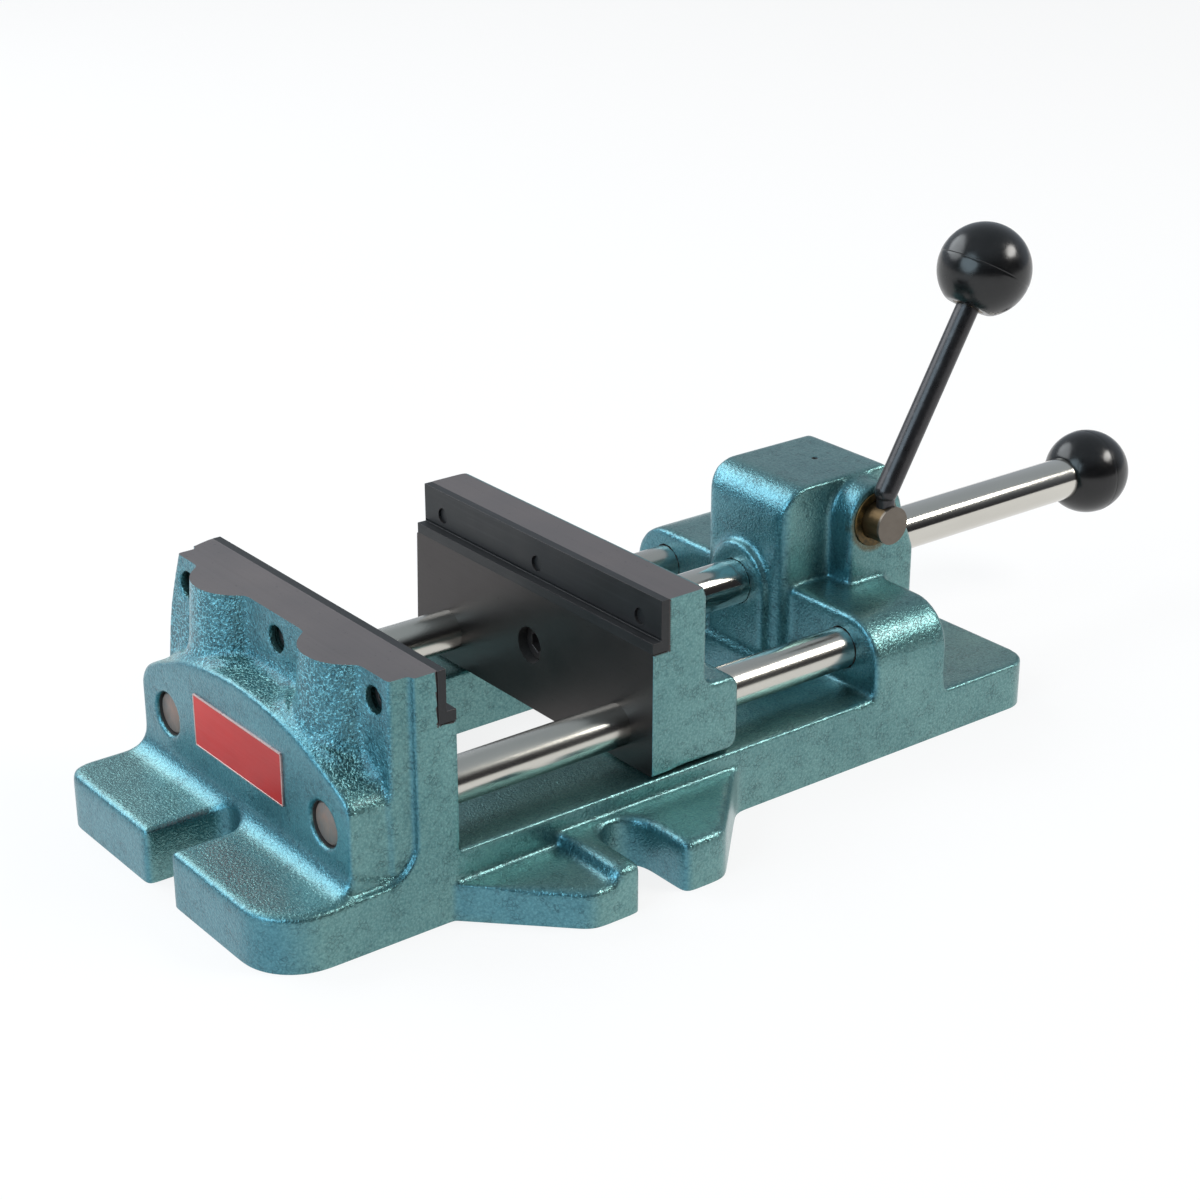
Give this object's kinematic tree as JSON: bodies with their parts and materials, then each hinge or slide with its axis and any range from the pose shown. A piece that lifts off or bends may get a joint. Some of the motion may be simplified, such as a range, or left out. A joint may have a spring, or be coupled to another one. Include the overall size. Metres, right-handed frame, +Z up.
{
  "type": "drill press vise",
  "caption": "Cam-action drill press vise: slotted cast base with a fixed jaw, a jaw that slides on guide rods, a plunger with a ball knob, and a cam lever that locks it.",
  "frame": {"origin": "on the table surface under the base, midway across, below the plane of the fixed jaw's face", "axes": "+X from the fixed jaw towards the plunger's knob, +Y away from the lever's side, +Z up"},
  "size_m": [0.4996, 0.223, 0.1999],
  "materials": {
    "hammertone_iron": "teal hammertone paint over rough casting, with ground jaw faces and tops",
    "red_plate": "satin red plate with a pale border",
    "black_oxide": "black oxide",
    "ground_steel": "ground and polished",
    "plain_steel": "machined",
    "bronze": "oiled bronze",
    "brown_steel": "oiled, browned steel",
    "black_rod": "satin black",
    "black_plastic": "glossy moulded"
  },
  "bodies": {
    "base": {"base_casting": "hammertone_iron", "nameplate": "red_plate", "fixed_jaw_insert": "black_oxide", "fixed_jaw_screws": "black_oxide", "guide_rod_near": "ground_steel", "guide_rod_far": "ground_steel", "guide_rod_set_screws": "black_oxide", "cam_bush_near": "bronze", "cam_bush_far": "bronze", "keeper_plate": "plain_steel", "keeper_screws": "black_oxide", "return_spring": "plain_steel"},
    "jaw_carriage": {"moving_jaw": "hammertone_iron", "moving_jaw_insert": "black_oxide", "moving_jaw_screws": "black_oxide", "plunger_rod": "ground_steel", "plunger_screw": "black_oxide", "plunger_washer": "plain_steel", "plunger_knob": "black_plastic", "plunger_knob_insert": "bronze"},
    "cam_lever": {"cam_shaft": "brown_steel", "cam_retaining_ring": "black_oxide", "lever_rod": "black_rod", "lever_knob": "black_plastic", "lever_knob_insert": "bronze"},
    "lock_plates": {"lock_plate_front": "plain_steel", "lock_plate_rear": "plain_steel"}
  },
  "joints": [
    {"name": "jaw_slide", "type": "slide", "parent": "base", "child": "jaw_carriage", "axis": [1, 0, 0], "range_m": [-0.086, 0.0709]},
    {"name": "lever_turn", "type": "hinge", "parent": "base", "child": "cam_lever", "pos_m": [0.2335, -0.0426, 0.0838], "axis": [0, 1, 0], "range_deg": [0, 75]},
    {"name": "lock_tilt", "type": "hinge", "parent": "base", "child": "lock_plates", "pos_m": [0.22191, 0, 0.0127], "axis": [0, 1, 0], "range_deg": [-1.9, 0], "deforming": ["return_spring"]}
  ],
  "couplings": [
    {"joint": "lock_tilt", "follows": "lever_turn", "ratio": -0.0244}
  ]
}
